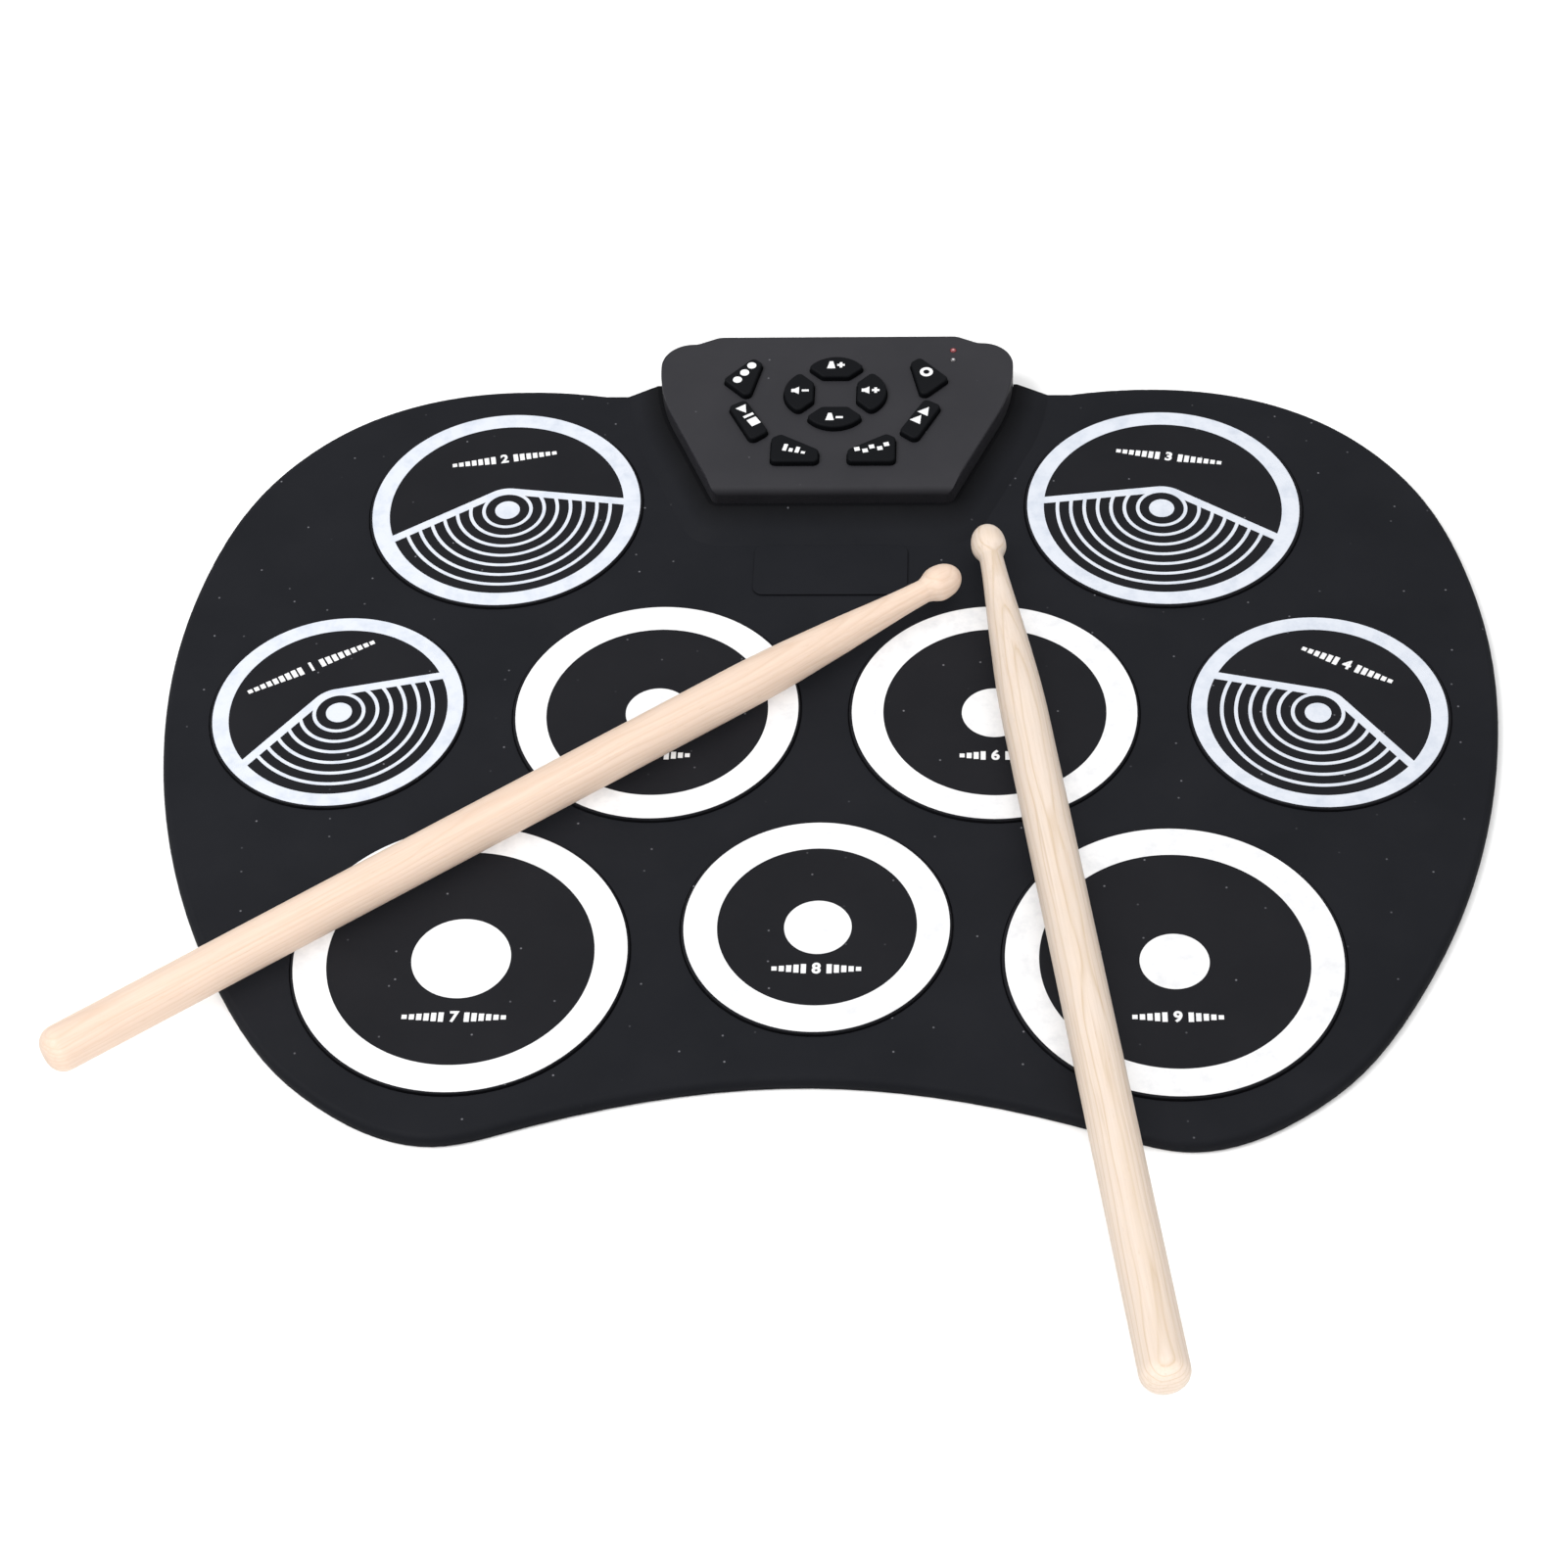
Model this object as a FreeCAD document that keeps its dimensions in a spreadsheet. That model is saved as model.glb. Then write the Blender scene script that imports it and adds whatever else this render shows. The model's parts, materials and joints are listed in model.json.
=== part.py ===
import FreeCAD, Part

import math
import os

# Electronic drum pad: a roll-up silicone mat with nine playing pads, a control box set in the
# mat's rear edge, and two drumsticks lying on the pads. Millimetres. X runs across the mat, Y
# away from the player and +Z up. The origin is on the mat's underside, on the mirror plane,
# midway between the mat's sides and near the middle of its depth.

doc = FreeCAD.newDocument("drum_pad")

# ---------------------------------------------------------------- driving dimensions
sheet = doc.addObject("Spreadsheet::Sheet", "sizes")
DIMENSIONS = [
    # layers of the mat, as heights above the table
    ("base_top", 1.0, "top of the lower sheet"),
    ("film_top", 1.2, "top of the sensor film"),
    ("sensor_top", 1.5, "top of the sensing discs"),
    ("flange_bottom", 2.3, "underside of a pad at rest, on its foam"),
    ("flange_top", 2.95, "top of a pad's hidden rim"),
    ("lip_bottom", 3.2, "underside of the lip that holds a pad in"),
    ("mat_top", 4.0, "top of the mat"),
    ("pad_top", 5.0, "top of the playing pads"),
    ("plate_top", 4.8, "top of the blank plate"),
    ("collar_top", 9.7, "top of the collar round the box"),
    ("edge_round", 2.5, "rounding of the mat's upper edge"),
    ("pad_round", 0.4, "rounding of a pad's upper edge"),
    # playing pads
    ("radius_small", 45.8, "hi-hat, ride and bass"),
    ("radius_medium", 51.3, "crash cymbals, high and low tom"),
    ("radius_large", 57.2, "snare and floor tom"),
    ("rim_width", 2.2, "how far a pad's hidden rim stands out"),
    ("pad_gap", 0.5, "groove between a pad and the mat"),
    ("pocket_gap", 0.6, "room beside the hidden rim"),
    ("sensor_share", 0.5, "sensing disc's radius over its pad's"),
    ("foam_share", 0.8, "foam disc's radius over its pad's"),
    # control box
    ("case_bottom", 1.0, "underside of the box"),
    ("case_floor", 2.6, "upper side of its floor"),
    ("case_seam", 9.0, "seam between the two shells"),
    ("seam_gap", 0.4, "height of the groove along that seam"),
    ("seam_depth", 0.3, "depth of that groove"),
    ("case_roof", 15.5, "underside of the top plate"),
    ("case_top", 17.5, "top of the box"),
    ("case_wall", 2.0, "wall thickness"),
    ("case_round", 0.8, "rounding of the top edges"),
    ("roll_radius", 3.0, "rolled front edge"),
    ("crown_radius", 40.0, "gentle crown behind that edge"),
    ("trap_width", 4.0, "flange trapped in the mat"),
    ("trap_top", 2.2, "top of that flange"),
    # keys
    ("key_bottom", 12.2, "end of a key's plunger"),
    ("key_flange_bottom", 13.7, "underside of a key's flange"),
    ("key_flange_top", 14.9, "top of a key's flange"),
    ("key_top", 19.8, "top of the keys"),
    ("key_round", 0.9, "rounding of a key's top edge"),
    ("key_flange_width", 1.2, "flange beyond the key"),
    ("key_gap", 0.35, "gap between a key and the top plate"),
    ("plunger_radius", 2.2, "plunger under a key"),
    # inside the box
    ("board_bottom", 9.2, "underside of the circuit board"),
    ("board_top", 10.8, "top of the circuit board"),
    ("contact_top", 11.0, "top of the printed key contacts"),
    ("keypad_top", 11.8, "top of the rubber sheet under the keys"),
    ("socket_axis", 5.6, "height of the rear sockets' axes"),
    ("plug_bore", 1.8, "radius of a 3.5 mm socket's bore"),
    ("plug_depth", 14.0, "depth of that bore"),
    ("nose_radius", 2.9, "radius of a socket's nose"),
    ("nose_gap", 0.1, "room round the nose in the rear wall"),
    ("lamp_radius", 1.25, "radius of a lamp's lens"),
    ("lamp_top", 17.9, "top of a lamp's lens"),
    ("lamp_round", 0.6, "rounding of a lens"),
    ("foot_radius", 5.0, "radius of a rubber foot"),
    ("connector_bottom", 6.4, "underside of the film's connector"),
    ("capacitor_radius", 2.5, "radius of a capacitor"),
    ("screw_head_top", 2.0, "bottom of the recess for a shell screw's head"),
    ("screw_head_radius", 2.4, "head of a shell screw"),
    ("screw_shank_radius", 1.15, "shank of a shell screw"),
    ("screw_end", 14.0, "upper end of a shell screw"),
    ("board_head_radius", 1.9, "head of a board screw"),
    ("board_shank_radius", 0.85, "shank of a board screw"),
    # drumsticks
    ("left_length", 370.0, "left drumstick, end to end"),
    ("right_length", 366.5, "right drumstick, end to end"),
    ("stick_radius", 8.3, "shaft of a drumstick"),
    ("bead_radius", 6.4, "tip of a drumstick"),
    ("neck_radius", 4.3, "thinnest place, behind the tip"),
    ("stick_height", 13.65, "height of a drumstick's axis"),
]
for row, (alias, value, meaning) in enumerate(DIMENSIONS, start=1):
    sheet.set(f"A{row}", meaning)
    sheet.set(f"B{row}", str(value))
    sheet.setAlias(f"B{row}", alias)
doc.recompute()


def size(alias):
    """A driving dimension's value."""
    return float(sheet.get(alias))


def bound(alias):
    """The expression that binds a property to a driving dimension, or to a sum of them."""
    return " ".join(f"sizes.{word}" if word[0].isalpha() else word for word in alias.split())


SUBPARTS = []
MIRRORED = ((-1, "left"), (1, "right"))


# ---------------------------------------------------------------- outlines
def point(x, y):
    return FreeCAD.Vector(x, y, 0)


def line(a, b):
    return Part.LineSegment(point(*a), point(*b))


def polygon(corners):
    return [line(a, b) for a, b in zip(corners, corners[1:] + corners[:1])]


def circle(x, y, radius):
    return [Part.Circle(point(x, y), FreeCAD.Vector(0, 0, 1), radius)]


def rectangle(low_x, low_y, high_x, high_y):
    return polygon([(low_x, low_y), (high_x, low_y), (high_x, high_y), (low_x, high_y)])


def mirrored(corners):
    """The same corners on the other side of the mirror plane, in the opposite order."""
    return [(-x, y) for x, y in reversed(corners)]


def grown(curves, distance):
    """Closed outline moved outwards by a distance, with round corners."""
    wire = Part.Wire([curve.toShape() for curve in curves])
    bigger = wire.makeOffset2D(distance)
    made = []
    for edge in bigger.Edges:
        if isinstance(edge.Curve, Part.Circle):
            made.append(Part.ArcOfCircle(edge.Curve, edge.FirstParameter, edge.LastParameter))
        else:
            ends = [vertex.Point for vertex in edge.Vertexes]
            made.append(Part.LineSegment(ends[0], ends[1]))
    return made


# Right half of the mat's edge, from the box's corner round to the middle of the front.
MAT_REAR = 174.7
MAT_CORNER = 82.0
MAT_EDGE = [
    (103.0, 178.2), (125.0, 178.9), (147.7, 176.0), (168.9, 168.9), (187.8, 157.6),
    (203.6, 142.6), (216.2, 124.8), (225.2, 105.0), (231.2, 84.1), (237.2, 41.8),
    (235.9, 0.0), (228.8, -40.3), (216.4, -78.8), (198.8, -114.8), (175.3, -147.1),
    (159.9, -159.9), (142.6, -169.8), (122.1, -174.2), (96.7, -167.9), (57.0, -156.6),
]
MAT_FRONT = (0.0, -150.0)


def mat_outline():
    """The mat's edge: one smooth curve round the front, and a straight rear edge by the box."""
    half = [(MAT_CORNER, MAT_REAR)] + MAT_EDGE
    places = half + [MAT_FRONT] + mirrored(half)
    curve = Part.BSplineCurve()
    curve.interpolate([point(*place) for place in places])
    return [curve, line(places[-1], places[0])]


# The box narrows towards the player. Each side is straight, then an arc that ends square to
# the rear, a rear corner, and a small step out to the middle of the rear wall.
CASE_HALF_WIDTH = 67.4
CASE_FRONT = 110.6
CASE_SHOULDER = 178.0
CASE_LEAN = math.radians(23.5)
SIDE_RADIUS = 70.0
REAR_CORNER = 12.0
STEP_LEAN = math.radians(25.0)
STEP_IN_RADIUS = 6.0
STEP_OUT_RADIUS = 8.0
CASE_REAR = 193.9
CORNER_RADIUS = 3.0


def arc(centre, radius, start, end):
    """Arc about a centre, from one angle to another, through the angle midway."""
    angles = (start, (start + end) / 2, end)
    on_arc = [point(centre[0] + radius * math.cos(a), centre[1] + radius * math.sin(a)) for a in angles]
    return Part.Arc(*on_arc)


def ends(curve):
    start, end = curve.StartPoint, curve.EndPoint
    return (start.x, start.y), (end.x, end.y)


def flipped(curve):
    """A line or an arc mirrored to the left side, running the other way."""
    low, high = curve.FirstParameter, curve.LastParameter
    found = [curve.value(place) for place in (high, (low + high) / 2, low)]
    start, middle, end = [point(-p.x, p.y) for p in found]
    if isinstance(curve, Part.LineSegment):
        return Part.LineSegment(start, end)
    return Part.Arc(start, middle, end)


def case_side(inset, front, last_angle):
    """Front corner, leaning side and side arc of the box's right side, moved inwards by inset."""
    side_centre = (CASE_HALF_WIDTH - SIDE_RADIUS, CASE_SHOULDER)
    side = arc(side_centre, SIDE_RADIUS - inset, -CASE_LEAN, last_angle)
    side_start = ends(side)[0]
    corner = max(CORNER_RADIUS - inset, 0.5)
    # the front corner touches the front edge and the leaning side
    corner_y = front + corner
    reach = (side_start[1] - corner_y) * math.tan(CASE_LEAN) + corner / math.cos(CASE_LEAN)
    front_corner = arc((side_start[0] - reach, corner_y), corner, -math.pi / 2, -CASE_LEAN)
    return [front_corner, line(ends(front_corner)[1], side_start), side]


def closed_by_mirror(right):
    """A closed outline from its right half, with a straight front and a straight rear."""
    left = [flipped(curve) for curve in reversed(right)]
    rear = line(ends(right[-1])[1], ends(left[0])[0])
    front = line(ends(left[-1])[1], ends(right[0])[0])
    return right + [rear] + left + [front]


def front_outline(inset, front, rear):
    """The box's front and sides, cut off straight at rear."""
    last_angle = math.asin((rear - CASE_SHOULDER) / (SIDE_RADIUS - inset))
    return closed_by_mirror(case_side(inset, front, last_angle))


def case_outline(inset, front):
    """The box's outline moved inwards by inset (outwards if negative), its front edge at front."""
    corner_centre = (CASE_HALF_WIDTH - REAR_CORNER, CASE_SHOULDER)
    corner = arc(corner_centre, REAR_CORNER - inset, 0.0, math.pi / 2)
    # the step: a hollow arc, a short slope and a round arc back to the rear wall
    hollow_centre = (corner_centre[0], CASE_SHOULDER + REAR_CORNER + STEP_IN_RADIUS)
    hollow = arc(hollow_centre, STEP_IN_RADIUS + inset, -math.pi / 2, -math.pi / 2 - STEP_LEAN)
    round_centre_y = CASE_REAR - STEP_OUT_RADIUS
    radii = STEP_IN_RADIUS + STEP_OUT_RADIUS
    climb = hollow_centre[1] - round_centre_y - radii * math.cos(STEP_LEAN)
    run = radii * math.sin(STEP_LEAN) - climb / math.tan(STEP_LEAN)
    round_centre = (hollow_centre[0] - run, round_centre_y)
    step = arc(round_centre, STEP_OUT_RADIUS - inset, math.pi / 2 - STEP_LEAN, math.pi / 2)
    slope = line(ends(hollow)[1], ends(step)[0])
    return closed_by_mirror(case_side(inset, front, 0.0) + [corner, hollow, slope, step])


# ---------------------------------------------------------------- features
def origin_plane(body, role):
    return next(f for f in body.Origin.OriginFeatures if f.Role == role)


def new_body(label):
    body = doc.addObject("PartDesign::Body", label)
    body.Label = label
    SUBPARTS.append(body)
    return body


def sketch_on(body, curves, height, role="XY_Plane"):
    """A sketch on one of the body's own origin planes, moved along its normal."""
    sketch = body.newObject("Sketcher::SketchObject", "outline")
    sketch.AttachmentSupport = [(origin_plane(body, role), "")]
    sketch.MapMode = "FlatFace"
    if height is not None:
        sketch.setExpression("AttachmentOffset.Base.z", bound(height))
    sketch.addGeometry(curves, False)
    return sketch


def pad(body, curves, bottom, top):
    """Adds the outline from one height to another."""
    feature = body.newObject("PartDesign::Pad", "pad")
    feature.Profile = sketch_on(body, curves, bottom)
    feature.setExpression("Length", f"{bound(top)} - ({bound(bottom)})")
    return feature


def pocket(body, curves, top, bottom):
    """Cuts the outline from one height down to another."""
    feature = body.newObject("PartDesign::Pocket", "pocket")
    feature.Profile = sketch_on(body, curves, top)
    feature.setExpression("Length", f"{bound(top)} - ({bound(bottom)})")
    return feature


def fillet(body, radius, wanted):
    """Rounds the edges of the body's tip that the test wants."""
    doc.recompute()
    base = body.Tip
    chosen = [f"Edge{i}" for i, edge in enumerate(base.Shape.Edges, start=1) if wanted(edge)]
    feature = body.newObject("PartDesign::Fillet", "rounding")
    feature.Base = (base, chosen)
    feature.setExpression("Radius", bound(radius))
    return feature


def flat_at(edge, height):
    """Whether an edge lies at a height all along."""
    box = edge.BoundBox
    return abs(box.ZMin - height) < 0.001 and abs(box.ZMax - height) < 0.001


def cylinder(x, y, radius, bottom, top, name="cylinder"):
    """A Part cylinder between two heights, its radius a driving dimension."""
    made = doc.addObject("Part::Cylinder", name)
    made.setExpression("Radius", bound(radius))
    made.setExpression("Height", f"{bound(top)} - ({bound(bottom)})")
    made.Placement.Base = FreeCAD.Vector(x, y, 0)
    made.setExpression("Placement.Base.z", bound(bottom))
    return made


def block(low_x, low_y, high_x, high_y, bottom, top, name="block"):
    """A Part box between two heights."""
    made = doc.addObject("Part::Box", name)
    made.Length = high_x - low_x
    made.Width = high_y - low_y
    made.setExpression("Height", f"{bound(top)} - ({bound(bottom)})")
    made.Placement.Base = FreeCAD.Vector(low_x, low_y, 0)
    made.setExpression("Placement.Base.z", bound(bottom))
    return made


def joined(pieces, name="joined"):
    made = doc.addObject("Part::MultiFuse", name)
    made.Shapes = pieces
    return made


def cut(base, tool, name="cut"):
    made = doc.addObject("Part::Cut", name)
    made.Base = base
    made.Tool = tool
    return made


def group(label, pieces):
    """One sub-part that is several separate solids of one kind."""
    made = doc.addObject("Part::Compound", label)
    made.Label = label
    made.Links = pieces
    SUBPARTS.append(made)
    return made


def keep(label, made):
    made.Label = label
    SUBPARTS.append(made)
    return made


# ---------------------------------------------------------------- playing pads
PADS = [
    # name, centre, radius
    ("crash_left", (-122.8, 113.4), "radius_medium"),
    ("crash_right", (122.8, 113.4), "radius_medium"),
    ("hihat", (-174.3, 11.4), "radius_small"),
    ("ride", (174.3, 11.4), "radius_small"),
    ("tom_high", (-59.9, 11.4), "radius_medium"),
    ("tom_low", (59.9, 11.4), "radius_medium"),
    ("snare", (-119.5, -99.5), "radius_large"),
    ("tom_floor", (119.5, -99.5), "radius_large"),
    ("bass", (0.0, -85.8), "radius_small"),
]
TAIL_HALF_WIDTH = 9.0
TAIL_FRONT = 118.0
TAIL_THICKNESS = 0.2
TAIL_GAP = 0.3
DISC_MARGIN = 3.0
TRACK_HALF_WIDTH = 5.0
HUB = (0.0, 60.0)


def make_pads():
    """Each pad is a disc with a hidden rim, trapped under the mat's lip and carried on foam."""
    sensors = []
    for name, (x, y), radius in PADS:
        body = new_body(f"pad_{name}")
        r = size(radius)
        pad(body, circle(0, 0, r + size("rim_width")), "flange_bottom", "flange_top")
        pad(body, circle(0, 0, r), "flange_top", "pad_top")
        fillet(body, "pad_round", lambda edge: flat_at(edge, size("pad_top")))
        body.Placement.Base = FreeCAD.Vector(x, y, 0)
        foam = f"{radius} * foam_share"
        keep(f"cushion_{name}", cylinder(x, y, foam, "sensor_top", "flange_bottom", "foam"))
        sensors.append(cylinder(x, y, f"{radius} * sensor_share", "film_top", "sensor_top", "sensor"))
    group("pad_sensors", sensors)


def film_tracks():
    """Outlines of the printed film: a disc under each pad, and a track from it to the hub."""
    outlines = [circle(x, y, size(radius) * size("sensor_share") + DISC_MARGIN)
                for _, (x, y), radius in PADS]
    for _, (x, y), _ in PADS:
        run_x, run_y = HUB[0] - x, HUB[1] - y
        length = math.hypot(run_x, run_y)
        side_x, side_y = -run_y / length * TRACK_HALF_WIDTH, run_x / length * TRACK_HALF_WIDTH
        outlines.append(polygon([
            (x + side_x, y + side_y), (x - side_x, y - side_y),
            (HUB[0] - side_x, HUB[1] - side_y), (HUB[0] + side_x, HUB[1] + side_y),
        ]))
    outlines.append(circle(*HUB, TAIL_HALF_WIDTH))
    outlines.append(rectangle(-TAIL_HALF_WIDTH, HUB[1], TAIL_HALF_WIDTH, TAIL_FRONT))
    return outlines


def slab(curves, bottom, top):
    """A flat solid between two heights, from a closed outline."""
    face = Part.Face(Part.Wire([curve.toShape() for curve in curves]))
    made = face.extrude(FreeCAD.Vector(0, 0, size(top) - size(bottom)))
    made.translate(FreeCAD.Vector(0, 0, size(bottom)))
    return made


def film_shape():
    """The flat film as one solid: discs and tracks melted together."""
    slabs = [slab(curves, "base_top", "film_top") for curves in film_tracks()]
    return slabs[0].multiFuse(slabs[1:]).removeSplitter()


def make_film():
    """The film, with its tail turned up through the floor of the box to the connector."""
    tail = Part.makeBox(
        2 * TAIL_HALF_WIDTH, TAIL_THICKNESS, size("connector_bottom") - size("base_top"),
        FreeCAD.Vector(-TAIL_HALF_WIDTH, TAIL_FRONT, size("base_top")),
    )
    film = doc.addObject("Part::Feature", "sensor_film")
    film.Shape = film_shape().fuse(tail).removeSplitter()
    keep("sensor_film", film)


# ---------------------------------------------------------------- mat
SCREW_PLACES = [(-38.0, 120.0), (38.0, 120.0), (-56.5, 179.5), (56.5, 179.5)]
ACCESS_RADIUS = 4.0
OUTER_EDGE_LENGTH = 500.0
COLLAR_FOOT = 13.5
COLLAR_RIM = 1.6
COLLAR_FRONT = 94.0
CASE_FIT = 0.15
PLATE = (28.4, 68.4, 93.6)
PLATE_CORNER = 4.0


def plate_outline():
    half, low, high = PLATE
    c = PLATE_CORNER
    return grown(rectangle(-half + c, low + c, half - c, high - c), c)


def make_mat():
    base = new_body("mat_base")
    pad(base, mat_outline(), "0", "base_top")
    for x, y in SCREW_PLACES[:2]:
        pocket(base, circle(x, y, ACCESS_RADIUS), "base_top", "0")

    skin = new_body("mat_skin")
    pad(skin, mat_outline(), "base_top", "mat_top")
    fillet(skin, "edge_round",
           lambda edge: flat_at(edge, size("mat_top")) and edge.Length > OUTER_EDGE_LENGTH)
    collar = skin.newObject("PartDesign::AdditiveLoft", "collar")
    foot = front_outline(-COLLAR_FOOT, COLLAR_FRONT, MAT_REAR)
    rim = front_outline(-COLLAR_RIM, CASE_FRONT - COLLAR_RIM, MAT_REAR)
    collar.Profile = sketch_on(skin, foot, "mat_top - 0.05")
    collar.Sections = [sketch_on(skin, rim, "collar_top")]
    collar.Ruled = True
    # room for the box, and for the flange that the mat grips
    pocket(skin, case_outline(-CASE_FIT, CASE_FRONT - CASE_FIT), "case_top", "0")
    grip = size("trap_width")
    pocket(skin, front_outline(-grip, CASE_FRONT - grip, MAT_REAR + 5.0), "trap_top", "0")
    # a hole for each pad, wider below the lip
    for _, (x, y), radius in PADS:
        hole = size(radius) + size("pad_gap")
        room = size(radius) + size("rim_width") + size("pocket_gap")
        pocket(skin, circle(x, y, hole), "mat_top", "0")
        pocket(skin, circle(x, y, room), "lip_bottom", "0")
    # the film lies in a recess of its own
    doc.recompute()
    whole = doc.addObject("Part::Feature", "mat_skin_cut")
    whole.Shape = skin.Shape.cut(film_shape())
    SUBPARTS.remove(skin)
    skin.Label = "mat_skin_moulding"
    keep("mat_skin", whole)

    plate = new_body("blank_plate")
    pad(plate, plate_outline(), "mat_top", "plate_top")
    fillet(plate, "pad_round", lambda edge: flat_at(edge, size("plate_top")))


# ---------------------------------------------------------------- keys
KEY_ROUND = 2.0
RING_CENTRE = (0.0, 160.6)
# A ring key before rounding: two inner corners, two outer corners and the arc's top, measured
# from the ring's centre for the key furthest from the player.
RING_INNER = (4.2, 10.2)
RING_OUTER = (8.0, 13.8)
RING_TOP = 17.5
# The outer keys before rounding, on the right side.
OUTER_KEYS = {
    "upper": [(30.4, 175.9), (31.7, 177.0), (40.4, 167.7), (33.9, 161.0)],
    "side": [(27.0, 139.6), (34.7, 153.8), (37.7, 152.0), (30.2, 137.0)],
    "lower": [(7.4, 128.0), (19.8, 135.3), (21.3, 134.4), (21.3, 124.6), (7.4, 124.6)],
}


def ring_key(turns):
    """Outline of a ring key, turned by quarter turns about the ring's centre."""
    def placed(x, y):
        for _ in range(turns):
            x, y = -y, x
        return (x + RING_CENTRE[0], y + RING_CENTRE[1])
    inner_left, inner_right = placed(-RING_INNER[0], RING_INNER[1]), placed(*RING_INNER)
    outer_left, outer_right = placed(-RING_OUTER[0], RING_OUTER[1]), placed(*RING_OUTER)
    top = Part.Arc(point(*outer_right), point(*placed(0, RING_TOP)), point(*outer_left))
    return [line(inner_left, inner_right), line(inner_right, outer_right), top,
            line(outer_left, inner_left)]


def middle_of(corners):
    return (sum(x for x, _ in corners) / len(corners), sum(y for _, y in corners) / len(corners))


def key_list():
    """Name, outline before rounding, and centre of every key."""
    keys = []
    reach = (RING_INNER[1] + RING_TOP) / 2
    ring = [("tempo_up", 0, (0, reach)), ("volume_down", 1, (-reach, 0)),
            ("tempo_down", 2, (0, -reach)), ("volume_up", 3, (reach, 0))]
    for name, turns, (x, y) in ring:
        keys.append((name, ring_key(turns), (RING_CENTRE[0] + x, RING_CENTRE[1] + y)))
    for place, corners in OUTER_KEYS.items():
        for sign, side in MIRRORED:
            sided = corners if sign > 0 else mirrored(corners)
            keys.append((f"{place}_{side}", polygon(sided), middle_of(sided)))
    return keys


KEYS = key_list()


def make_keys():
    """A rubber key: a cap through the top plate, a flange below it and a plunger."""
    for name, core, (x, y) in KEYS:
        body = new_body(f"key_{name}")
        pad(body, circle(x, y, size("plunger_radius")), "key_bottom", "key_flange_bottom")
        pad(body, grown(core, KEY_ROUND + size("key_flange_width")), "key_flange_bottom", "key_flange_top")
        pad(body, grown(core, KEY_ROUND), "key_flange_top", "key_top")
        fillet(body, "key_round", lambda edge: flat_at(edge, size("key_top")))


# ---------------------------------------------------------------- control box
LAMPS = [("led_power", 44.5, 185.4), ("led_status", 44.5, 180.0)]
LAMP_GAP = 0.05
INNER_FRONT = 116.0
CROWN_LEAN = math.radians(12.0)
JACKS_X = {"headphone_jack": [8.0], "pedal_jacks": [22.0, 34.0]}
JACK_BLOCK = (3.5, 14.4, 2.8)
USB_X = -30.0
USB_HALF = (4.47, 1.63)
USB_WALL = 0.3
USB_DEPTH = 7.5
SWITCH_X = -12.5
SWITCH_TRAVEL = 3.0
SWITCH_KNOB = (3.0, 2.4)
SWITCH_PROUD = 1.2
SWITCH_GAP = 0.3
SWITCH_BODY = (9.6, 5.6)
BOSS_RADIUS = 3.2
SCREW_RADIUS = 1.2
HEAD_RADIUS = 2.4
SCREW_GAP = 0.15
BOARD_SCREWS = [(-44.0, 150.0), (44.0, 150.0), (0.0, 186.5)]
BOARD_POST_RADIUS = 2.6
BOARD_SCREW_RADIUS = 0.9
BOARD_HEAD_RADIUS = 1.9
BOARD_EDGE = 0.8
TAIL_SLOT = (117.6, 121.5)
REAR_HOLE_DEPTH = 3.0
FEET = [(-38.0, 186.5), (38.0, 186.5)]
CHIPS = [(-22.0, 150.0, 14.0, 10.0), (20.0, 146.0, 10.0, 7.0), (0.0, 168.0, 8.0, 6.0)]
CAPACITORS = [(-48.0, 168.0), (-41.0, 168.0), (48.0, 166.0)]


def rear_hole(body, curves):
    """Cuts an outline given as X and Z through the rear wall, from inside it outwards."""
    sketch = sketch_on(body, curves, None, "XZ_Plane")
    # this plane's normal points towards the player
    sketch.AttachmentOffset.Base = FreeCAD.Vector(0, 0, REAR_HOLE_DEPTH - CASE_REAR)
    feature = body.newObject("PartDesign::Pocket", "rear_hole")
    feature.Profile = sketch
    feature.Length = REAR_HOLE_DEPTH + 1.0


def slot_outline(x, z, half_width, half_height, corner):
    """A rectangle with round corners about a centre."""
    inner_width, inner_height = half_width - corner, half_height - corner
    core = rectangle(x - inner_width, z - inner_height, x + inner_width, z + inner_height)
    return grown(core, corner)


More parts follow.
